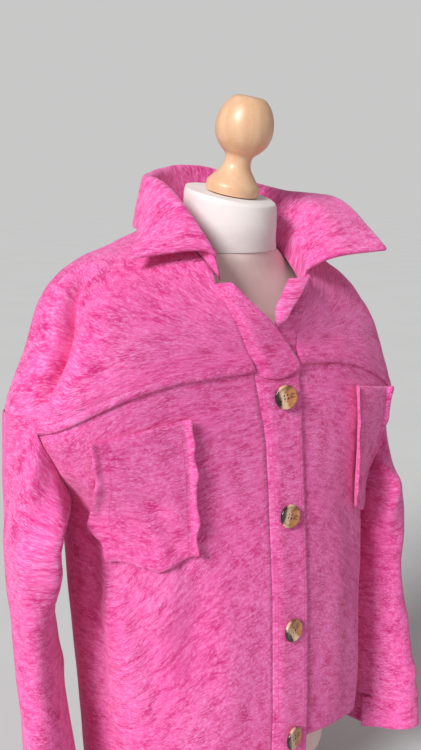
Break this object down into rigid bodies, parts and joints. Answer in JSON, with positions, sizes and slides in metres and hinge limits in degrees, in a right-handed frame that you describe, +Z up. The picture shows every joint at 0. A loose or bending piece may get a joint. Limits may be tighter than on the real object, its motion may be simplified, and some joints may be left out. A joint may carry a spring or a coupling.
{
  "type": "shirt jacket on a dress form",
  "caption": "Boxy shirt jacket in thick brushed pink wool with flared collar, lapped yokes, chest pockets and horn-look buttons, open-necked on a limbless dress form with a wooden knob.",
  "frame": {"origin": "centre of the stand base's flat underside", "axes": "+Z up along the stand's pole; the jacket's front faces -Y and the wearer's right hand is at -X"},
  "size_m": [0.5712, 0.35, 0.9364],
  "materials": {
    "pink_wool": "thick brushed wool in mixed pinks, matt with a soft raised nap",
    "horn": "horn-look resin, dark brown with cream and amber streaks, polished",
    "form_cloth": "pale jersey stretched smooth over the form",
    "neck_cloth": "white cotton stretched smooth over the neck cap",
    "beech": "turned beech, satin clear coat",
    "stand_paint": "satin black powder coat"
  },
  "bodies": {
    "root": {"back": "pink_wool", "button_front_1": "horn", "button_front_2": "horn", "button_front_3": "horn", "button_front_4": "horn", "collar": "pink_wool", "cuff_left": "pink_wool", "cuff_right": "pink_wool", "form_neck": "neck_cloth", "form_trunk": "form_cloth", "front_left": "pink_wool", "front_right": "pink_wool", "neck_knob": "beech", "placket_left": "pink_wool", "placket_right": "pink_wool", "placket_yoke": "pink_wool", "pocket_left": "pink_wool", "pocket_right": "pink_wool", "sleeve_left": "pink_wool", "sleeve_right": "pink_wool", "stand_base": "stand_paint", "stand_pole": "stand_paint", "yoke_left": "pink_wool", "yoke_right": "pink_wool"}
  },
  "joints": []
}
